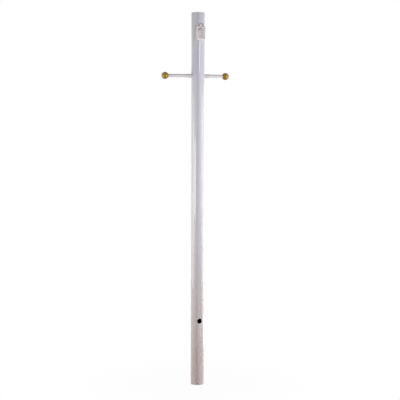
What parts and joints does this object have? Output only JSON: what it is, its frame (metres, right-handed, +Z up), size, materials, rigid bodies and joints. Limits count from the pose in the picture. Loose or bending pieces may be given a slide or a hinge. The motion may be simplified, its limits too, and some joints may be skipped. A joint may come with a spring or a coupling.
{
  "type": "outdoor outlet post",
  "caption": "Round direct-burial lamp post with an open top, a cross arm on brass ball ends, a lidded weatherproof outlet and a wire entry hole.",
  "frame": {"origin": "centre of the tube's bottom rim, on the plane of its cut end", "axes": "+Z up along the post, -Y out of the outlet and the wire entry, X along the cross arm with its longer side towards -X"},
  "size_m": [0.405, 0.0884, 2.1336],
  "materials": {
    "post_paint": "gloss white powder coat on aluminium",
    "arm_paint": "gloss white powder coat on aluminium",
    "screw_steel": "stainless steel",
    "ball_brass": "polished brass",
    "gasket_rubber": "matt black rubber",
    "frame_plastic": "moulded off-white plastic",
    "receptacle_plastic": "moulded off-white plastic",
    "strap_steel": "zinc plated steel",
    "terminal_brass": "brass",
    "terminal_green": "green screw",
    "spring_steel": "dark spring steel",
    "lid_plastic": "clear polycarbonate"
  },
  "bodies": {
    "post": {"post_tube": "post_paint", "arm_bar": "arm_paint", "collar_left": "arm_paint", "collar_right": "arm_paint", "collar_screw_left": "screw_steel", "collar_screw_right": "screw_steel", "ball_left": "ball_brass", "ball_right": "ball_brass", "outlet_gasket": "gasket_rubber", "outlet_frame": "frame_plastic", "frame_screw_upper": "screw_steel", "frame_screw_lower": "screw_steel", "receptacle_face": "receptacle_plastic", "receptacle_body": "receptacle_plastic", "mounting_strap": "strap_steel", "terminal_screw_live": "terminal_brass", "terminal_screw_neutral": "screw_steel", "terminal_screw_earth": "terminal_green", "hinge_pin": "screw_steel", "lid_spring_left": "spring_steel", "lid_spring_right": "spring_steel"},
    "lid": {"outlet_lid": "lid_plastic"}
  },
  "joints": [
    {"name": "lid_hinge", "type": "hinge", "parent": "post", "child": "lid", "pos_m": [0, -0.0444, 2.0636], "axis": [-1, 0, 0], "range_deg": [0, 110], "stiffness_Nm_per_rad": 0.02, "springref_deg": -28.65}
  ]
}
